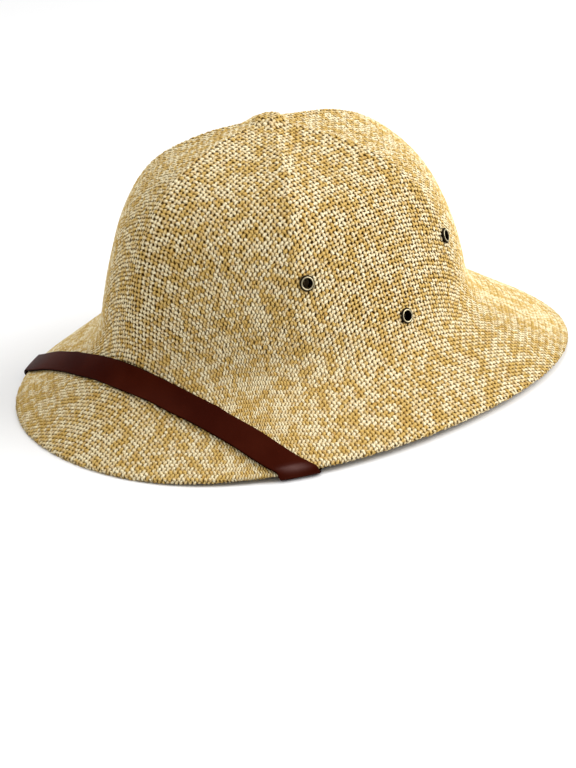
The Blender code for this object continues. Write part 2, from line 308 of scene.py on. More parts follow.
# Camera: where it aims, how far it stands, its angles in degrees, its lens and its shift
CAMERA_TARGET = (0, 0, 0.07)
CAMERA_DISTANCE = 1.3174
CAMERA_AZIMUTH = 47.60
CAMERA_ELEVATION = 20.73
CAMERA_ROLL = -3.87
CAMERA_LENS = 109.01
CAMERA_SENSOR = 36
CAMERA_SHIFT = (0.0065, -0.1745)

# Square soft lights: the way to each from the hat in the camera's own axes, its distance and its size
SoftLight = namedtuple("SoftLight", "way distance size")
KEY_LIGHT = SoftLight((0.80, 0.55, 0.22), 1.6, 1.4)
TOP_LIGHT = SoftLight((-0.35, 0.88, 0.30), 1.6, 1.8)
FLOOR_REACH = 30.0
FLOOR_SIDES = 64
FLOOR_ROUGHNESS = 0.9


def glide(at, places, values, level_end=False):
    """A smooth curve through two columns of a table, read at any place between its rows."""
    slopes = np.gradient(values, places)
    if level_end:
        slopes[-1] = 0
    row = np.clip(np.searchsorted(places, at, side="right") - 1, 0, len(places) - 2)
    span = places[row + 1] - places[row]
    share = (at - places[row]) / span
    start = values[row] * (1 + 2 * share) + slopes[row] * span * share
    end = values[row + 1] * (3 - 2 * share) + slopes[row + 1] * span * (share - 1)
    return start * (1 - share) ** 2 + end * share**2


def ease(share):
    share = np.clip(share, 0, 1)
    return share**2 * (3 - 2 * share)


def panel(turn):
    """How far a point lies from the nearest ridge: 0 on a ridge, about 1 in the middle of a panel."""
    away = np.abs((turn + 180) % 360 - 180)
    wave = np.sin(np.interp(away, RIDGE_TURNS, np.pi * np.arange(len(RIDGE_TURNS))))
    return (np.hypot(wave, RIDGE_ROUNDING) - RIDGE_ROUNDING) ** PANEL_FLATNESS


def crown_skin(turn, rise, knob=False, press=None):
    """The outside of the crown, an oval dome whose panels are pressed in between its ridges. A given press
    stands in for the panels, and makes the dome even all round."""
    ahead, aside = np.cos(np.radians(turn)), np.sin(np.radians(turn))
    up, out = np.sin(np.radians(rise)), np.cos(np.radians(rise))
    front, side, rear, dip = (glide(rise, RISES, column, True) for column in (FRONTS, SIDES, REARS, DIPS))
    end = np.where(ahead > 0, front, rear)
    sink = 1 - dip * (panel(turn) if press is None else press)
    pull = 1 + CORNER_PULL * (2 * ahead * aside * out) ** 2
    x = side * out * aside * pull * sink
    y = -end * out * ahead * pull * sink
    z = (side * aside**2 + end * ahead**2) * up * sink
    y = y + CROWN_LEAN * z / FRONTS[-1]
    if knob:
        away = np.hypot(x, y - CROWN_LEAN)
        z = z + KNOB_HEIGHT * ease((KNOB_FOOT_RADIUS - away) / (KNOB_FOOT_RADIUS - KNOB_TOP_RADIUS))
    return np.stack([x, y, z + SEAT_HEIGHT], axis=-1)


def rim_lift(turn):
    """The rim is level at the front and the rear and lifts a little towards the sides."""
    aside = np.abs(np.sin(np.radians(turn)))
    return SIDE_LIFT * ease((aside - LEVEL_SINE) / (1 - LEVEL_SINE))


def rim_edge(turn):
    """Where the top of the brim meets its rounded rim."""
    ahead, aside = np.cos(np.radians(turn)), np.sin(np.radians(turn))
    fullness = 1 + BRIM_CORNER_FULLNESS * (2 * ahead * aside) ** 2
    x = BRIM_HALF_WIDTH * aside * fullness * (1 - BRIM_EGG * ahead)
    y = -BRIM_HALF_LENGTH * ahead * fullness
    return np.stack([x, y, RIM_TOP + rim_lift(turn)], axis=-1)


def brim_skin(turn, share):
    """The top of the brim, straight from the crown's seat to the rim, and straight on past it."""
    seat = crown_skin(turn, 0)
    return seat + (rim_edge(turn) - seat) * share[..., None]


def top_skin(turn, course, knob=False, press=None):
    """The outside of the hat by courses: 0 at the top, 1 to 2 the hollow under the crown, 3 at the rim."""
    turn, course = np.broadcast_arrays(np.asarray(turn, float), np.asarray(course, float))
    crown = crown_skin(turn, 90 + (HOLLOW_RISE - 90) * np.clip(course, 0, 1), knob, press)
    share = np.clip(course - 1, 0, 1)[..., None]
    foot = crown_skin(turn, HOLLOW_RISE, False, press)
    seat = crown_skin(turn, 0)
    shoulder = brim_skin(turn, np.full(turn.shape, HOLLOW_BRIM_SHARE))
    hollow = foot * (1 - share) ** 2 + 2 * seat * share * (1 - share) + shoulder * share**2
    brim = brim_skin(turn, HOLLOW_BRIM_SHARE + (1 - HOLLOW_BRIM_SHARE) * np.maximum(course - 2, 0))
    lower = np.where((course < 2)[..., None], hollow, brim)
    return np.where((course < 1)[..., None], crown, lower)


def course_of(rise):
    return (90 - rise) / (90 - HOLLOW_RISE)


def facing(turn, course, knob=False):
    """The direction straight out of the straw, from the slopes of its outer skin."""
    course = np.clip(course, SLOPE_STEP, 3 - SLOPE_STEP)
    along = top_skin(turn + SLOPE_STEP, course, knob) - top_skin(turn - SLOPE_STEP, course, knob)
    down = top_skin(turn, course + SLOPE_STEP, knob) - top_skin(turn, course - SLOPE_STEP, knob)
    out = np.cross(down, along)
    return out / np.linalg.norm(out, axis=-1, keepdims=True)


def inside_skin(turn, course):
    """The inside of the hat. Close to the rim the straw thickens to the rim's own thickness."""
    hem = (2 * RIM_RADIUS - STRAW_WALL) * ease((course - 3 + HEM_COURSES) / HEM_COURSES)
    return top_skin(turn, course) - (STRAW_WALL + hem)[..., None] * facing(turn, course)


def rim_frame(turn):
    """The centre of the rounded rim, its outward direction and the angle at which the brim meets it."""
    edge, out = rim_edge(turn), facing(turn, np.full(np.shape(turn), 3.0))
    level = np.linalg.norm(out[..., :2], axis=-1)
    outward = out * (1, 1, 0) / level[..., None]
    return edge - RIM_RADIUS * out, outward, np.arctan2(out[..., 2], level)


def round_rim(turn, angle, radius):
    """A point of the rounded rim, and its direction out of the rim."""
    centre, outward, _ = rim_frame(turn)
    up = np.array((0, 0, 1.0))
    out = np.cos(angle)[..., None] * outward + np.sin(angle)[..., None] * up
    return centre + np.asarray(radius)[..., None] * out, out


def on_straw(turn, course, proud):
    """A point that stands proud of the straw. Courses run 0 to 3 down the outside, 3 to 4 round the rim
    and 4 to 7 up the inside."""
    turn, course = np.broadcast_arrays(np.asarray(turn, float), np.asarray(course, float))
    proud = np.broadcast_to(np.asarray(proud, float), turn.shape)
    above = np.clip(course, 0, 3)
    below = 7 - np.clip(course, 4, 7)
    top = top_skin(turn, above) + proud[..., None] * facing(turn, above)
    rim, _ = round_rim(turn, rim_frame(turn)[2] - np.pi * np.clip(course - 3, 0, 1), RIM_RADIUS + proud)
    inside = inside_skin(turn, below) - proud[..., None] * facing(turn, below)
    lower = np.where((course < 4)[..., None], rim, inside)
    return np.where((course < 3)[..., None], top, lower)


def vent_place(vent, side):
    """Where an eyelet sits on the crown, and the direction that it faces."""
    course = course_of(vent.rise)
    spot = Vector(top_skin(side * vent.turn, course))
    reach = np.degrees(EYELET_FLANGE_RADIUS / SIDES[0])
    around = [facing(side * vent.turn + step * reach, course) for step in (-1, 0, 1)]
    return spot, Vector(np.sum(around, axis=0)).normalized()


def block_skin(aside, ahead):
    """The block that the cloth was draped over, at a place given as a course aside and a course ahead."""
    return top_skin(np.degrees(np.arctan2(aside, ahead)), np.hypot(aside, ahead), press=DRAPE_PRESS)


def axis_crossings(way, pitch):
    """The crossings along one of the hat's two middle lines, an equal length of yarn apart."""
    ladder = np.linspace(0, DRAPE_REACH, LADDER_RUNGS)
    points = block_skin(ladder * way[0], ladder * way[1])
    lengths = np.concatenate([[0], np.cumsum(np.linalg.norm(np.diff(points, axis=0), axis=1))])
    return np.interp(np.arange(0, lengths[-1], pitch), lengths, ladder)


def drape_quarter(front, pitch):
    """The crossings of the yarns over the left front or left rear quarter of the block. Each new crossing
    lies one pitch from the two before it, as in any square cloth that is sheared but not stretched."""
    asides, aheads = axis_crossings((1, 0), pitch), axis_crossings((0, front), pitch) * front
    place = np.full((len(asides), len(aheads), 2), np.nan)
    place[:, 0] = np.stack([asides, 0 * asides], axis=-1)
    place[0] = np.stack([0 * aheads, aheads], axis=-1)
    for diagonal in range(2, sum(place.shape[:2]) - 1):
        row = np.arange(max(1, diagonal - len(aheads) + 1), min(len(asides), diagonal))
        column = diagonal - row
        known = np.isfinite(place[row - 1, column, 0] + place[row, column - 1, 0])
        row, column = row[known], column[known]
        if not len(row):
            continue
        first, second = place[row - 1, column], place[row, column - 1]
        found = first + second - place[row - 1, column - 1]
        one, other = block_skin(*first.T), block_skin(*second.T)
        for _ in range(SOLVE_STEPS):
            here = block_skin(*found.T)
            slope_aside = (block_skin(found[:, 0] + SOLVE_SLOPE, found[:, 1]) - here) / SOLVE_SLOPE
            slope_ahead = (block_skin(found[:, 0], found[:, 1] + SOLVE_SLOPE) - here) / SOLVE_SLOPE
            miss = [((here - end) ** 2).sum(-1) - pitch**2 for end in (one, other)]
            a, b = (2 * ((here - one) * slope).sum(-1) for slope in (slope_aside, slope_ahead))
            c, d = (2 * ((here - other) * slope).sum(-1) for slope in (slope_aside, slope_ahead))
            step = np.stack([d * miss[0] - b * miss[1], a * miss[1] - c * miss[0]], axis=-1)
            step = step / (a * d - b * c)[:, None]
            found = found - step * (LONGEST_STEP / np.maximum(np.hypot(*step.T), LONGEST_STEP))[:, None]
        here = block_skin(*found.T)
        off = sum(np.abs(np.linalg.norm(here - end, axis=-1) - pitch) for end in (one, other))
        good = (off < pitch * PITCH_SLIP) & (np.hypot(*found.T) < DRAPE_REACH)
        place[row[good], column[good]] = found[good]
    return place


def drape(pitch):
    """All crossings of the cloth, as courses aside and ahead, by lengthwise yarn from the wearer's right
    and by crosswise yarn from the rear. Each wanders a little, as pressed straw does."""
    front, rear = drape_quarter(1, pitch), drape_quarter(-1, pitch)
    left = np.concatenate([rear[:, :0:-1], front], axis=1)
    whole = np.concatenate([left[:0:-1] * (-1, 1), left])
    wander = np.random.default_rng(WANDER_SEED).normal(0, CROSSING_WANDER, whole.shape)
    pitch_in_courses = 3 * pitch / BRIM_HALF_LENGTH
    return whole + wander * pitch_in_courses


def lay_cloth(place, hem):
    """Where the middle of the cloth lies: down the outside of the hat, round its rim and under it in a hem.
    Gives the place, the direction out of the cloth, how thick it is against its full thickness, and how
    far past the end of the hem it is."""
    turn = np.degrees(np.arctan2(place[..., 0], place[..., 1]))
    course = np.hypot(place[..., 0], place[..., 1])
    above = np.minimum(course, 3)
    full, thin = STRAW_WALL / 2, RIM_RADIUS / 2
    half = full + (thin - full) * ease((above - 3 + HEM_COURSES) / HEM_COURSES)
    out = facing(turn, above, True)
    top = top_skin(turn, above, True) - half[..., None] * out
    slope = np.linalg.norm(top_skin(turn, np.full(turn.shape, 2.0)) - rim_edge(turn), axis=-1)
    past = (course - 3) * slope
    arc = np.pi * (RIM_RADIUS - thin)
    angle = rim_frame(turn)[2] - np.clip(past, 0, arc) / (RIM_RADIUS - thin)
    rim, rim_out = round_rim(turn, angle, np.full(turn.shape, RIM_RADIUS - thin))
    under_course = 3 - np.maximum(past - arc, 0) / slope
    under_out = facing(turn, under_course)
    under = top_skin(turn, under_course) - (2 * RIM_RADIUS - thin) * under_out
    on_top, on_rim = (past < 0)[..., None], (past < arc)[..., None]
    spot = np.where(on_top, top, np.where(on_rim, rim, under))
    direction = np.where(on_top, out, np.where(on_rim, rim_out, -under_out))
    return spot, direction, half / full, past - arc - hem


def quarter_steps(values, hold=QUARTER):
    """Two rows for each step of a table, one shortly after its start and one shortly before its end."""
    rows = np.empty((2 * len(values) - 2, *values.shape[1:]))
    rows[::2] = values[:-1] * (1 - hold) + values[1:] * hold
    rows[1::2] = values[:-1] * hold + values[1:] * (1 - hold)
    return rows


YarnRun = namedtuple("YarnRun", "spots out across lift thick half_width along number")


def runs_of(inside):
    """The stretches of a row of true and false values that are true."""
    edges = np.flatnonzero(np.diff(np.concatenate([[0], inside.astype(int), [0]])))
    return list(zip(edges[::2], edges[1::2]))


def near_vent(spot, vents):
    return any(np.linalg.norm(spot - vent) <= VENT_CUT_RADIUS for vent in vents)


def reach_vent(outer, inner, vents):
    """The place between two points of a yarn where it meets the hole of a vent."""
    vent = min(vents, key=lambda place: np.linalg.norm(inner - place))
    line = outer + (inner - outer) * np.linspace(0, 1, VENT_CUT_STEPS)[:, None]
    away = np.linalg.norm(line - vent, axis=1)
    return line[np.argmin(np.abs(away - VENT_CUT_RADIUS))]


def follow_yarn(crossings, width, parity, number, hem, vents):
    """The runs of one yarn, over and under the yarns that cross it, between the hem and the vents."""
    known = np.flatnonzero(np.isfinite(crossings[:, 0]))
    if len(known) < 2:
        return []
    counts = np.arange(known[0], known[-1] + 1)
    spots, out, thick, past = lay_cloth(quarter_steps(crossings[counts]), hem)
    lift = quarter_steps(1.0 - 2 * ((counts + parity) % 2), 0)
    half_width = quarter_steps(width[counts]) / 2
    along = quarter_steps(counts)
    across = np.cross(out, np.gradient(spots, axis=0))
    across /= np.linalg.norm(across, axis=-1, keepdims=True)
    keep = np.isfinite(past) & (past < 0)
    for vent in vents:
        keep &= np.linalg.norm(spots - vent, axis=1) > VENT_CUT_RADIUS
    made = []
    for start, end in runs_of(keep):
        from_vent = start > 0 and near_vent(spots[start - 1], vents)
        to_vent = end < len(keep) and near_vent(spots[end], vents)
        rows = slice(start - from_vent, end + to_vent)
        if rows.stop - rows.start < 2:
            continue
        way = spots[rows].copy()
        if from_vent:
            way[0] = reach_vent(way[1], way[0], vents)
        if to_vent:
            way[-1] = reach_vent(way[-2], way[-1], vents)
        parts = (values[rows] for values in (out, across, lift, thick, half_width, along))
        made.append(YarnRun(way, *parts, number))
    return made


def yarn_widths(spots, share):
    """How wide the yarns are that fill a share of the way to their neighbours, for the lengthwise and for
    the crosswise yarns."""
    beside, ahead = np.gradient(spots, axis=0), np.gradient(spots, axis=1)
    area = np.linalg.norm(np.cross(beside, ahead), axis=-1)
    widths = []
    for along in (ahead, beside):
        spacing = area / np.linalg.norm(along, axis=-1)
        widths.append(share * np.where(np.isfinite(spacing), spacing, np.nanmedian(spacing)))
    return widths


class Term:
    """A number that a node gives out. Sums with it add Math nodes to its tree."""

    def __init__(self, tree, socket):
        self.tree = tree
        self.socket = socket

    def maths(self, operation, *values):
        node = wire(self.tree, "ShaderNodeMath", dict(enumerate(values)), operation=operation)
        return Term(self.tree, node.outputs[0])

    def __add__(self, other):
        return self.maths("ADD", self, other)

    def __radd__(self, other):
        return self.maths("ADD", other, self)

    def __sub__(self, other):
        return self.maths("SUBTRACT", self, other)

    def __rsub__(self, other):
        return self.maths("SUBTRACT", other, self)

    def __mul__(self, other):
        return self.maths("MULTIPLY", self, other)

    def __rmul__(self, other):
        return self.maths("MULTIPLY", other, self)

    def __truediv__(self, other):
        return self.maths("DIVIDE", self, other)

    def call(self, operation, *others):
        return self.maths(operation, self, *others)


def feed(tree, node, sources):
    """Fills a node's inputs from terms, sockets or plain values."""
    for key, value in sources.items():
        if isinstance(value, Term):
            value = value.socket
        if isinstance(value, bpy.types.NodeSocket):
            tree.links.new(value, node.inputs[key])
        else:
            node.inputs[key].default_value = value


def wire(tree, kind, sources=None, **settings):
    """A new node with its settings, and with its inputs filled."""
    node = tree.nodes.new(kind)
    for name, value in settings.items():
        setattr(node, name, value)
    feed(tree, node, sources or {})
    return node


def shader(name):
    """A new material with its tree and its surface shader."""
    material = bpy.data.materials.new(name)
    material.use_nodes = True
    return material, material.node_tree, material.node_tree.nodes["Principled BSDF"]


def split(tree, place):
    """The coordinates of a place."""
    parts = wire(tree, "ShaderNodeSeparateXYZ", {0: place}).outputs
    return [Term(tree, part) for part in parts]


def uv_terms(tree, name):
    """The two coordinates of a UV map."""
    return split(tree, wire(tree, "ShaderNodeUVMap", uv_map=name).outputs[0])[:2]


def object_place(tree):
    return wire(tree, "ShaderNodeTexCoord").outputs["Object"]


def vector(tree, x, y):
    return wire(tree, "ShaderNodeCombineXYZ", {0: x, 1: y}).outputs[0]


def noise(tree, where, scale, detail):
    """Smooth noise about a half."""
    sources = {"Vector": where, "Scale": scale, "Detail": detail}
    return Term(tree, wire(tree, "ShaderNodeTexNoise", sources).outputs["Fac"])


def smooth(tree, value, low, high):
    """0 below one value, 1 above another, and a smooth step between."""
    sources = {"Value": value, "From Min": low, "From Max": high}
    return Term(tree, wire(tree, "ShaderNodeMapRange", sources, interpolation_type="SMOOTHSTEP").outputs[0])


def mix(tree, share, first, second):
    """A colour between two others."""
    return wire(tree, "ShaderNodeMix", {0: share, 6: first, 7: second}, data_type="RGBA").outputs[2]


def bump(tree, height, depth):
    return wire(tree, "ShaderNodeBump", {"Height": height, "Distance": depth}).outputs[0]


def hole_shade(tree, where, along, to_edge, gap_reach):
    """How far the straw is darkened with painted shade round the holes of the weave, which lie beside a yarn
    where it dives.
    """
    to_dive = (along.call("FRACT") * 2 - 1).call("ABSOLUTE")
    to_hole = (to_edge * to_edge + to_dive * to_dive * HOLE_LENGTH).call("SQRT")
    height = split(tree, where)[2]
    opened = smooth(tree, height, *OPENING_HEIGHTS) - CLOSING_SHARE * smooth(tree, height, *CLOSING_HEIGHTS)
    odds = 1 - HOLE_ODDS / 2 + HOLE_ODDS * noise(tree, where, HOLE_ODDS_SCALE, 0.0)
    reach = gap_reach * (1 - HOLE_GROWTH + HOLE_GROWTH * opened) * odds
    depth = 1 - HOLE_DEEPENING + HOLE_DEEPENING * opened
    return smooth(tree, to_hole / reach, *HOLE_STEP) * depth


def straw_material(settings):
    """Paper straw spun from cream and tan strips: blotches along each yarn, its twist, and painted shade in
    its grooves, on its sides and in the holes of the weave.
    """
    material, tree, surface = shader("straw")
    along, side = uv_terms(tree, "yarn")
    yarn = side.call("FLOOR")
    around = side - yarn
    where = object_place(tree)
    painted_yarn_shade_colour = (*settings.painted_yarn_shade, 1)
    blotch = noise(tree, vector(tree, along * settings.blotch_rate, yarn * BLOTCH_SHIFT), 1.0, 1.0)
    cloud = noise(tree, where, settings.cloud_rate, 1.0)
    tint = smooth(tree, blotch * (1 - CLOUD_SHARE) + cloud * CLOUD_SHARE, *TINT_STEP)
    body = mix(tree, tint, (*settings.cream, 1), (*settings.tan, 1))
    stain = noise(tree, vector(tree, along * STAIN_RATE, yarn * STAIN_SHIFT + around), 1.0, 2.0)
    body = mix(tree, smooth(tree, stain, *STAIN_STEP) * STAIN_DEPTH, body, (*settings.ochre, 1))
    twist = ((along * settings.twist_rate + around * 2) * (2 * np.pi)).call("SINE")
    ridge = smooth(tree, twist, *GROOVE_STEP)
    # Painted shade in the grooves of the twist
    body = mix(tree, (1 - ridge) * GROOVE_SHADE, body, painted_yarn_shade_colour)
    to_edge = 1 - ((around * 4).call("MODULO", 2) - 1).call("ABSOLUTE")
    # Painted shade towards the two sides of each yarn
    body = mix(tree, smooth(tree, to_edge, *SIDE_STEP) * settings.side_shade, body, painted_yarn_shade_colour)
    # Painted shade in the holes of the weave
    hole = hole_shade(tree, where, along, to_edge, settings.gap_reach)
    finish = {
        "Base Color": mix(tree, hole, body, (*settings.gap, 1)),
        "Roughness": PAPER_ROUGHNESS - TAN_SHEEN * tint,
        "Normal": bump(tree, ridge, GROOVE_DEPTH),
        "Specular IOR Level": PAPER_SPECULAR,
    }
    feed(tree, surface, finish)
    return material


def yarn_tree(material):
    """Geometry Nodes that sweep a flat oval yarn along each line, over and under the yarns across it."""
    tree = bpy.data.node_groups.new("yarns", "GeometryNodeTree")
    tree.is_modifier = True
    face = tree.interface
    face.new_socket("Geometry", in_out="INPUT", socket_type="NodeSocketGeometry")
    depth = face.new_socket("Weave Depth", in_out="INPUT", socket_type="NodeSocketFloat")
    flat = face.new_socket("Yarn Thickness", in_out="INPUT", socket_type="NodeSocketFloat")
    sides = face.new_socket("Yarn Sides", in_out="INPUT", socket_type="NodeSocketInt")
    face.new_socket("Geometry", in_out="OUTPUT", socket_type="NodeSocketGeometry")
    given = tree.nodes.new("NodeGroupInput").outputs

    def made(kind, sources=None, **settings):
        return wire(tree, kind, sources, **settings).outputs[0]

    def attribute(name):
        kind = YARN_FIELDS.get(name, "FLOAT_VECTOR")
        return Term(tree, made("GeometryNodeInputNamedAttribute", {"Name": name}, data_type=kind))

    def stored(geometry, name):
        sources = {"Geometry": geometry, "Name": name, "Value": place}
        return made("GeometryNodeStoreNamedAttribute", sources, data_type="FLOAT_VECTOR", domain="POINT")

    def scaled(direction, length):
        return made("ShaderNodeVectorMath", {0: direction, "Scale": length}, operation="SCALE")

    def added(first, second):
        return made("ShaderNodeVectorMath", {0: first, 1: second}, operation="ADD")

    place = made("GeometryNodeInputPosition")
    curves = made("GeometryNodeMeshToCurve", {"Mesh": stored(given["Geometry"], "middle")})
    ring = stored(made("GeometryNodeCurvePrimitiveCircle", {"Resolution": given["Yarn Sides"]}), "section")
    tubes = made("GeometryNodeCurveToMesh", {"Curve": curves, "Profile Curve": ring, "Fill Caps": True})
    aside, up, _ = split(tree, attribute("section"))
    high = up * (Term(tree, given["Yarn Thickness"]) / 2)
    proud = (high + attribute("lift") * given["Weave Depth"]) * attribute("thick")
    spread = scaled(attribute("across"), aside * attribute("half_width"))
    moved = added(attribute("middle"), added(spread, scaled(attribute("out"), proud)))
    woven = made("GeometryNodeSetPosition", {"Geometry": tubes, "Position": moved})
    real = made("GeometryNodeRealizeInstances", {"Geometry": woven})
    dyed = made("GeometryNodeSetMaterial", {"Geometry": real, "Material": material})
    tree.links.new(dyed, tree.nodes.new("NodeGroupOutput").inputs[0])
    return tree, {"depth": depth.identifier, "flat": flat.identifier, "sides": sides.identifier}


def set_attribute(mesh, name, kind, values):
    field = "vector" if kind == "FLOAT_VECTOR" else "value"
    mesh.attributes.new(name, kind, "POINT").data.foreach_set(field, np.ravel(values).astype(np.float32))


def set_uv(mesh, name, places):
    """Gives a mesh a UV map, from a place for each corner of its faces."""
    mesh.uv_layers.new(name=name).data.foreach_set("uv", np.ravel(places).astype(np.float32))


def yarn_lines(name, runs):
    """A mesh of the middle lines of the yarns, with what the tree needs to know at each point."""
    mesh = bpy.data.meshes.new(name)
    spots = np.concatenate([run.spots for run in runs])
    starts = np.cumsum([0] + [len(run.spots) for run in runs])
    firsts = np.concatenate([np.arange(start, end - 1) for start, end in zip(starts, starts[1:])])
    mesh.vertices.add(len(spots))
    mesh.vertices.foreach_set("co", spots.ravel().astype(np.float32))
    mesh.edges.add(len(firsts))
    mesh.edges.foreach_set("vertices", np.stack([firsts, firsts + 1], axis=-1).ravel().astype(np.int32))
    for field, kind in YARN_FIELDS.items():
        set_attribute(mesh, field, kind, np.concatenate([getattr(run, field) for run in runs]))
    return mesh


def finish_yarns(mesh, runs, sides):
    """Gives the swept yarns their two UV maps. One follows the yarn: the count of the yarns that it has
    crossed, and its own number plus the way round it. The other lays all yarns out without overlap."""
    counts = np.array([len(run.spots) for run in runs])
    along = np.concatenate([run.along for run in runs])
    number = np.repeat([run.number for run in runs], counts)
    corner = np.empty(len(mesh.loops), np.int32)
    mesh.loops.foreach_get("vertex_index", corner)
    starts = np.empty(len(mesh.polygons), np.int32)
    mesh.polygons.foreach_get("loop_start", starts)
    face_of = np.searchsorted(starts, np.arange(len(corner)), side="right") - 1
    ring, side = np.divmod(corner, sides)
    first_ring, first_side = (np.minimum.reduceat(values, starts)[face_of] for values in (ring, side))
    last_side = np.maximum.reduceat(side, starts)[face_of]
    wraps = (last_side == sides - 1) & (first_side == 0) & (side == 0)
    around = (side + sides * wraps) / sides
    set_uv(mesh, "yarn", np.stack([along[ring], number[ring] + WAY_ROUND * around], axis=-1))
    per_row = int(np.ceil(np.sqrt(counts.sum() / BAKE_TILE_SHAPE)))
    row_count = int(np.ceil(counts.sum() / per_row))
    row, column = np.divmod(first_ring, per_row)
    aside = (column + ring - first_ring) / (per_row + 1)
    upward = (row + BAKE_MARGIN + (1 - 2 * BAKE_MARGIN) * around) / row_count
    set_uv(mesh, "OFBake", np.stack([aside, upward], axis=-1))


def weave(name, runs, tree, sockets, settings):
    """Sweeps the yarns of one piece and makes them a plain mesh that stays above the surface it rests on."""
    lines = bpy.data.objects.new(name + "_lines", yarn_lines(name + "_lines", runs))
    bpy.context.scene.collection.objects.link(lines)
    modifier = lines.modifiers.new("yarns", "NODES")
    modifier.node_group = tree
    modifier[sockets["depth"]] = settings.weave_depth
    modifier[sockets["flat"]] = settings.yarn_thickness
    modifier[sockets["sides"]] = settings.yarn_sides
    graph = bpy.context.evaluated_depsgraph_get()
    mesh = bpy.data.meshes.new_from_object(lines.evaluated_get(graph))
    mesh.name = name
    bpy.data.objects.remove(lines, do_unlink=True)
    spots = np.empty(3 * len(mesh.vertices), np.float32)
    mesh.vertices.foreach_get("co", spots)
    spots[2::3] = np.maximum(spots[2::3], 0)
    mesh.vertices.foreach_set("co", spots)
    finish_yarns(mesh, runs, settings.yarn_sides)
    for field in (*YARN_FIELDS, "middle", "section"):
        if field in mesh.attributes:
            mesh.attributes.remove(mesh.attributes[field])
    mesh.shade_smooth()
    return mesh


def hidden_turn(course, courses, turns):
    """The turn of one edge past the rim, which it rounds evenly before it bends away underneath."""
    if course < courses[1]:
        return np.interp(course, courses, turns)
    return glide(course, courses[1:], turns[1:])


def strap_stations():
    """Both edges of the strap as rows of turn and course, from the front centre to its end inside."""
    ways, upper_courses, lower_courses = np.array(STRAP_ON_BRIM).T
    courses, upper_turns, lower_turns = np.array(HIDDEN_STRETCH).T
    rows = []
    for way in np.linspace(0, 1, STRAP_STEPS_TO_RIM + 1):
        upper, lower = glide(way, ways, upper_courses), glide(way, ways, lower_courses)
        rows.append((way * upper_turns[0], upper, way * lower_turns[0], lower))
    stretches = (
        (3, 4, STRAP_STEPS_ROUND_RIM),
        (4, 5, STRAP_STEPS_UNDER_BRIM),
        (5, courses[-1], STRAP_STEPS_INSIDE),
    )
    for start, end, steps in stretches:
        for course in np.linspace(start, end, steps + 1)[1:]:
            upper, lower = (hidden_turn(course, courses, turns) for turns in (upper_turns, lower_turns))
            rows.append((upper, course, lower, course))
    return rows


def way_along(*steps):
    """The length from the first point of a line to each of its points, from its steps in each direction."""
    return np.concatenate([[0], np.cumsum(np.linalg.norm(steps, axis=0))])


def strap_mesh():
    """The whole strap with rounded edges, from its end inside the right temple to the left one."""
    across, height = np.array(STRAP_SECTION).T
    sections = []
    stations = strap_stations()
    for side, row in [(-1, row) for row in stations[:0:-1]] + [(1, row) for row in stations]:
        upper_turn, upper_course, lower_turn, lower_course = row
        turns = side * (upper_turn + (lower_turn - upper_turn) * across)
        courses = upper_course + (lower_course - upper_course) * across
        sections.append(on_straw(turns, courses, STRAP_GAP + STRAP_THICKNESS * height))
    sections = np.array(sections)
    count, sides = sections.shape[:2]
    length = way_along(*np.diff(sections.mean(axis=1), axis=0).T)
    aside, upward = np.diff(across, append=across[0]), np.diff(height, append=height[0])
    perimeter = way_along(aside * STRAP_WIDTH, upward * STRAP_THICKNESS)
    faces, places = [], []
    for step, side in np.ndindex(count - 1, sides):
        ring = ((step, side), (step, side + 1), (step + 1, side + 1), (step + 1, side))
        faces.append([at * sides + point % sides for at, point in ring])
        places += [(length[at], perimeter[point]) for at, point in ring]
    faces.append(range(sides)[::-1])
    faces.append(range((count - 1) * sides, count * sides))
    places += [(0, 0)] * (2 * sides)
    mesh = bpy.data.meshes.new("leather_strap")
    mesh.from_pydata(sections.reshape(-1, 3).tolist(), [], faces)
    set_uv(mesh, "strap", places)
    middle = length[-1] / 2
    rim = middle - length[len(stations) - 1 - STRAP_STEPS_TO_RIM]
    from_fold = np.abs(length - middle) - (rim - FOLD_HIGHLIGHT_LEAD)
    # The painted highlight on the fold over the rim, strongest in the middle of the strap's width
    fold_highlight = np.outer(np.exp(-np.square(from_fold / FOLD_HIGHLIGHT_REACH)), np.square(np.sin(np.pi * across)))
    set_attribute(mesh, "fold_highlight", "FLOAT", fold_highlight)
    fix_outward(mesh)
    mesh.shade_smooth()
    return mesh


def fix_outward(mesh):
    """Turns the faces of a closed mesh outwards."""
    work = bmesh.new()
    work.from_mesh(mesh)
    bmesh.ops.recalc_face_normals(work, faces=work.faces)
    if work.calc_volume(signed=True) < 0:
        bmesh.ops.reverse_faces(work, faces=work.faces)
    work.to_mesh(mesh)
    work.free()


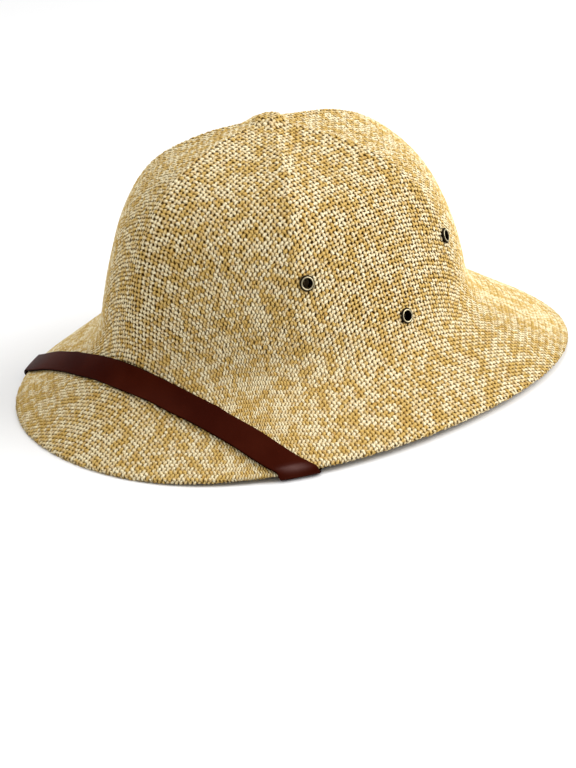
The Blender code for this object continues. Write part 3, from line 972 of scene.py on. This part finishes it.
def leather_material(settings):
    """Smooth dark leather with fine pores, a few rubbed places, a painted highlight on the fold over the rim
    and darker edges.
    """
    material, tree, surface = shader("leather")
    way_round = uv_terms(tree, "strap")[1]
    where = object_place(tree)
    wear = noise(tree, where, WEAR_SCALE, 3.0)
    body = mix(tree, smooth(tree, wear, *WEAR_STEP), (*settings.leather, 1), (*settings.worn, 1))
    # Painted highlight on the fold over the rim
    fold_highlight = wire(tree, "ShaderNodeAttribute", attribute_name="fold_highlight").outputs["Fac"]
    body = mix(tree, fold_highlight, body, (*settings.fold_highlight, 1))
    half = STRAP_WIDTH / 2
    off_middle = (way_round - half - EDGE_ROUNDING).call("ABSOLUTE")
    # Darker at the edges of the strap and on its underside
    edge = smooth(tree, off_middle, half - EDGE_ROUNDING, half + EDGE_DARK_REACH)
    pores = wire(tree, "ShaderNodeTexVoronoi", {"Vector": where, "Scale": PORE_SCALE}, feature="F1")
    finish = {
        "Base Color": mix(tree, edge, body, (*settings.edge, 1)),
        "Roughness": settings.roughness + WEAR_ROUGHNESS * wear + EDGE_ROUGHNESS * edge,
        "Normal": bump(tree, pores.outputs["Distance"], PORE_DEPTH),
        "Specular IOR Level": LEATHER_SPECULAR,
    }
    feed(tree, surface, finish)
    return material


def eyelet_mesh(sides, spot, direction):
    """One eyelet: a rolled flange, the barrel through the straw and its end clinched over inside."""
    inner = -STRAW_WALL - CLINCH_GAP
    flange_width = EYELET_FLANGE_RADIUS - EYELET_BORE_RADIUS
    clinch_width = EYELET_CLINCH_RADIUS - EYELET_BORE_RADIUS
    profile = [
        (EYELET_BORE_RADIUS + across * flange_width, PIECE_GAP + height * EYELET_DOME)
        for across, height in FLANGE_SECTION
    ]
    profile += [(EYELET_BARREL_RADIUS, PIECE_GAP), (EYELET_BARREL_RADIUS, inner)]
    profile += [
        (EYELET_BORE_RADIUS + across * clinch_width, inner - height * EYELET_CLINCH_DEPTH)
        for across, height in CLINCH_SECTION
    ]
    spin = np.arange(sides) * 2 * np.pi / sides
    work = bmesh.new()
    rings = [
        [work.verts.new((radius * np.cos(turn), radius * np.sin(turn), rise)) for turn in spin]
        for radius, rise in profile
    ]
    for first, second in zip(rings, rings[1:] + rings[:1]):
        for side in range(sides):
            after = (side + 1) % sides
            work.faces.new((first[side], first[after], second[after], second[side]))
    bmesh.ops.recalc_face_normals(work, faces=work.faces)
    uv = work.loops.layers.uv.new("eyelet")
    for face in work.faces:
        for loop in face.loops:
            x, y, z = loop.vert.co
            loop[uv].uv = (np.hypot(x, y), z - PIECE_GAP)
    turned = direction.to_track_quat("Z", "Y").to_matrix().to_4x4()
    work.transform(Matrix.Translation(spot) @ turned)
    mesh = bpy.data.meshes.new("brass_eyelet")
    work.to_mesh(mesh)
    work.free()
    mesh.shade_smooth()
    mesh.set_sharp_from_angle(angle=np.radians(EYELET_SHARP_ANGLE))
    return mesh


def brass_material(settings):
    """Aged brass: rubbed bright on the crest of the flange, with a painted highlight there, and dark towards
    its edge and in the bore.
    """
    material, tree, surface = shader("brass")
    radius, height = uv_terms(tree, "eyelet")
    where = object_place(tree)
    tarnish = noise(tree, where, TARNISH_SCALE, 3.0)
    scratch = noise(tree, where, SCRATCH_SCALE, 1.0)
    crest_radius = EYELET_BORE_RADIUS + CREST_SHARE * (EYELET_FLANGE_RADIUS - EYELET_BORE_RADIUS)
    off_crest = (radius - crest_radius).call("ABSOLUTE")
    crest = smooth(tree, off_crest, CREST_REACH, CREST_CORE * CREST_REACH)
    crest = crest * smooth(tree, height, *(share * EYELET_DOME for share in CREST_HEIGHTS))
    # Rubbed brass and a painted highlight on the crest
    rubbed = (crest * (LEAST_RUB_AND_HIGHLIGHT + CLOUD_RUB_AND_HIGHLIGHT * tarnish)).call("MINIMUM", 1)
    finish = {
        "Base Color": mix(tree, rubbed, (*settings.patina, 1), (*settings.brass, 1)),
        "Metallic": 1,
        "Roughness": PATINA_ROUGHNESS - CREST_SHEEN * crest + TARNISH_ROUGHNESS * tarnish,
        "Normal": bump(tree, scratch, SCRATCH_DEPTH),
    }
    feed(tree, surface, finish)
    return material


def add_piece(name, mesh, slot, *nodes):
    """Puts a finished mesh in the scene as a piece of the hat that stands for its solids."""
    piece = bpy.data.objects.new(name, mesh)
    bpy.context.scene.collection.objects.link(piece)
    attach(piece, "root")
    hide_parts(*nodes)


def camera_axes():
    """The camera's right, its up and its way back, in the scene."""
    azimuth, elevation, roll = np.radians((CAMERA_AZIMUTH, CAMERA_ELEVATION, CAMERA_ROLL))
    level = np.cos(elevation)
    back = np.array([np.sin(azimuth) * level, -np.cos(azimuth) * level, np.sin(elevation)])
    right = np.array([np.cos(azimuth), np.sin(azimuth), 0])
    tilted = right * np.cos(roll) + np.cross(back, right) * np.sin(roll)
    return tilted, np.cross(back, tilted), back


def place_light(name, light, power):
    """A square soft light that faces the hat."""
    data = bpy.data.lights.new(name, "AREA")
    data.energy, data.size = power, light.size
    lamp = bpy.data.objects.new(name, data)
    way = Vector(np.array(light.way) @ camera_axes()).normalized()
    lamp.location = Vector(CAMERA_TARGET) + way * light.distance
    lamp.rotation_mode = "QUATERNION"
    lamp.rotation_quaternion = way.to_track_quat("Z", "Y")
    bpy.context.scene.collection.objects.link(lamp)


def lay_floor(scene, colour):
    material, _, surface = shader("floor")
    surface.inputs["Base Color"].default_value = (*colour, 1)
    surface.inputs["Roughness"].default_value = FLOOR_ROUGHNESS
    work = bmesh.new()
    bmesh.ops.create_circle(work, cap_ends=True, segments=FLOOR_SIDES, radius=FLOOR_REACH)
    mesh = bpy.data.meshes.new("floor")
    work.to_mesh(mesh)
    work.free()
    mesh.materials.append(material)
    floor = bpy.data.objects.new("floor", mesh)
    scene.collection.objects.link(floor)


def set_camera(scene):
    data = bpy.data.cameras.new("camera")
    data.lens, data.sensor_width, data.sensor_fit = CAMERA_LENS, CAMERA_SENSOR, "AUTO"
    data.shift_x, data.shift_y = CAMERA_SHIFT
    camera = bpy.data.objects.new("camera", data)
    axes = camera_axes()
    place = Vector(CAMERA_TARGET) + CAMERA_DISTANCE * Vector(axes[-1])
    camera.matrix_world = Matrix.Translation(place) @ Matrix(np.stack(axes, axis=1)).to_4x4()
    scene.collection.objects.link(camera)
    scene.camera = camera


def light_room(scene, strength):
    """Even white light from all sides."""
    world = bpy.data.worlds.new("studio")
    world.use_nodes = True
    sky = world.node_tree.nodes["Background"]
    sky.inputs["Color"].default_value = (1, 1, 1, 1)
    sky.inputs["Strength"].default_value = strength
    scene.world = world
    scene.view_settings.view_transform = "Standard"


def number_property(name, description, default, **kind):
    return bpy.props.FloatProperty(name=name, description=description, default=default, **kind)


def count_property(name, description, default, least):
    return bpy.props.IntProperty(name=name, description=description, default=default, min=least)


def colour_property(name, description, default):
    return bpy.props.FloatVectorProperty(
        name=name, description=description, default=default, subtype="COLOR", size=3, min=0, max=1
    )


class HELMET_straw(bpy.types.PropertyGroup):
    """The sizes and colours of the woven straw"""

    pitch: number_property("Pitch", "Distance between neighbouring yarns", 0.0025, unit="LENGTH")
    yarn_share: number_property("Yarn share", "Share of the pitch that a yarn covers", 0.97, subtype="FACTOR")
    yarn_thickness: number_property("Yarn thickness", "Thickness of a flattened yarn", 0.00095, unit="LENGTH")
    weave_depth: number_property(
        "Weave depth", "How far a yarn rises and sinks at a crossing", 0.00045, unit="LENGTH"
    )
    yarn_sides: count_property("Yarn sides", "Faces round each yarn", 4, 3)
    hem: number_property("Hem", "Width of the hem under the brim", 0.006, unit="LENGTH")
    blotch_rate: number_property("Blotch rate", "Changes of colour along a yarn, for each pitch", 0.42)
    cloud_rate: number_property("Cloud rate", "Changes of colour across the cloth, for each metre", 150.0)
    gap_reach: number_property(
        "Gap reach",
        "How far the shade round each hole of the weave reaches, from 0 at its corner to 1",
        0.72,
        subtype="FACTOR",
    )
    twist_rate: number_property("Twist rate", "Turns of the paper strip along a yarn, for each pitch", 1.3)
    # Painted shade on the sides of a yarn
    side_shade: number_property("Side shade", "How dark the sides of a yarn are", 0.5, subtype="FACTOR")
    cream: colour_property("Cream", "The light paper of the yarns", (0.91, 0.82, 0.55))
    tan: colour_property("Tan", "The dark paper of the yarns", (0.65, 0.455, 0.155))
    ochre: colour_property("Ochre", "Stains on the paper", (0.46, 0.235, 0.045))
    # Painted shade in the grooves of the twist and on the sides of each yarn
    painted_yarn_shade: colour_property("Groove", "The grooves between the turns of the paper", (0.40, 0.205, 0.018))
    # Painted shade in the holes between the yarns
    gap: colour_property("Gap", "The shaded holes between the yarns", (0.090, 0.040, 0.001))


class HELMET_strap(bpy.types.PropertyGroup):
    """The colours and the sheen of the chin strap"""

    leather: colour_property("Leather", "The face of the strap", (0.029, 0.0026, 0.0005))
    worn: colour_property("Worn leather", "Lighter, rubbed places of the strap", (0.048, 0.0066, 0.0022))
    # Darker at the edges and on the underside of the strap
    edge: colour_property("Edge", "The stained edges of the strap", (0.008, 0.002, 0.001))
    # Painted highlight on the fold over the rim
    fold_highlight: colour_property("Highlight", "The leather rubbed on the fold over the rim", (0.125, 0.062, 0.055))
    roughness: number_property("Roughness", "Roughness of the leather", 0.34, subtype="FACTOR")


class HELMET_eyelets(bpy.types.PropertyGroup):
    """The colours of the vent eyelets and how round they are"""

    # Rubbed brass and a painted highlight on the crest of the flange
    brass: colour_property("Brass", "Rubbed brass", (0.48, 0.42, 0.27))
    patina: colour_property("Patina", "Aged brass", (0.018, 0.012, 0.006))
    sides: count_property("Sides", "Faces round each eyelet", 48, 12)


class HELMET_stage(bpy.types.PropertyGroup):
    """The floor and the light"""

    floor: colour_property("Floor", "The floor under the hat", (0.92, 0.92, 0.92))
    key_power: number_property("Key power", "Power of the large light on the right", 29.0, unit="POWER")
    top_power: number_property("Top power", "Power of the wide light overhead", 16.0, unit="POWER")
    room_light: number_property("Room light", "Strength of the light from all sides", 0.48)


class HELMET_OT_weave_straw(bpy.types.Operator):
    """Weave the straw cloth of the crown and the brim, yarn by yarn"""

    bl_idname = "helmet.weave_straw"
    bl_label = "Weave straw"

    def execute(self, context):
        settings = context.scene.helmet_straw
        crossings = drape(settings.pitch)
        widths = yarn_widths(lay_cloth(crossings, settings.hem)[0], settings.yarn_share)
        vents = [np.array(vent_place(vent, side)[0]) for vent in VENTS for side in (1, -1)]
        tree, sockets = yarn_tree(straw_material(settings))
        families = (
            ("lengthwise", crossings, widths[0], 0, ("right", "middle", "left")),
            ("crosswise", crossings.swapaxes(0, 1), widths[1].T, 1, ("rear", "middle", "front")),
        )
        for family, rows, row_widths, parity, thirds in families:
            yarns = [
                follow_yarn(row, width, at + parity, at + parity * FIRST_CROSSWISE, settings.hem, vents)
                for at, (row, width) in enumerate(zip(rows, row_widths))
            ]
            counts = np.cumsum([sum(len(run.spots) for run in runs) for runs in yarns])
            third_of = np.minimum(counts * len(thirds) // (counts[-1] + 1), len(thirds) - 1)
            for third, where in enumerate(thirds):
                runs = [run for at in np.flatnonzero(third_of == third) for run in yarns[at]]
                name = f"straw_{family}_{where}"
                add_piece(name, weave(name, runs, tree, sockets, settings), "straw", "shell")
        return {"FINISHED"}


class HELMET_OT_lay_strap(bpy.types.Operator):
    """Lay the leather chin strap over the front of the brim and round its rim"""

    bl_idname = "helmet.lay_strap"
    bl_label = "Lay strap"

    def execute(self, context):
        mesh = strap_mesh()
        mesh.materials.append(leather_material(context.scene.helmet_strap))
        add_piece("leather_strap", mesh, "leather", "chin_strap")
        return {"FINISHED"}


class HELMET_OT_set_eyelets(bpy.types.Operator):
    """Set the six brass eyelets in the vents"""

    bl_idname = "helmet.set_eyelets"
    bl_label = "Set eyelets"

    def execute(self, context):
        settings = context.scene.helmet_eyelets
        material = brass_material(settings)
        for side, side_name in ((1, "left"), (-1, "right")):
            for vent in VENTS:
                name = f"{side_name}_{vent.name}"
                mesh = eyelet_mesh(settings.sides, *vent_place(vent, side))
                mesh.materials.append(material)
                add_piece(f"brass_eyelet_{name}", mesh, "brass", f"eyelet_{name}")
        return {"FINISHED"}


class HELMET_OT_set_stage(bpy.types.Operator):
    """Set the floor, the lights and the camera"""

    bl_idname = "helmet.set_stage"
    bl_label = "Set stage"

    def execute(self, context):
        scene, settings = context.scene, context.scene.helmet_stage
        lay_floor(scene, settings.floor)
        place_light("key", KEY_LIGHT, settings.key_power)
        place_light("top", TOP_LIGHT, settings.top_power)
        light_room(scene, settings.room_light)
        set_camera(scene)
        return {"FINISHED"}


class HELMET_PT_pieces(bpy.types.Panel):
    """The pieces of the hat and its stage, each with its settings"""

    bl_label = "Pith helmet"
    bl_idname = "HELMET_PT_pieces"
    bl_space_type = "VIEW_3D"
    bl_region_type = "UI"
    bl_category = "Pith helmet"

    def draw(self, context):
        for operator, settings in OPERATORS:
            box = self.layout.box()
            box.operator(operator.bl_idname)
            for field in settings.__annotations__:
                box.prop(getattr(context.scene, settings.__name__.lower()), field)


OPERATORS = (
    (HELMET_OT_weave_straw, HELMET_straw),
    (HELMET_OT_lay_strap, HELMET_strap),
    (HELMET_OT_set_eyelets, HELMET_eyelets),
    (HELMET_OT_set_stage, HELMET_stage),
)


def register():
    for operator, settings in OPERATORS:
        bpy.utils.register_class(settings)
        bpy.utils.register_class(operator)
        setattr(bpy.types.Scene, settings.__name__.lower(), bpy.props.PointerProperty(type=settings))
    bpy.utils.register_class(HELMET_PT_pieces)


def unregister():
    bpy.utils.unregister_class(HELMET_PT_pieces)
    for operator, settings in reversed(OPERATORS):
        delattr(bpy.types.Scene, settings.__name__.lower())
        bpy.utils.unregister_class(operator)
        bpy.utils.unregister_class(settings)


def main():
    register()
    bpy.ops.helmet.weave_straw()
    bpy.ops.helmet.lay_strap()
    bpy.ops.helmet.set_eyelets()
    bpy.ops.helmet.set_stage()


if __name__ == "__main__":
    main()
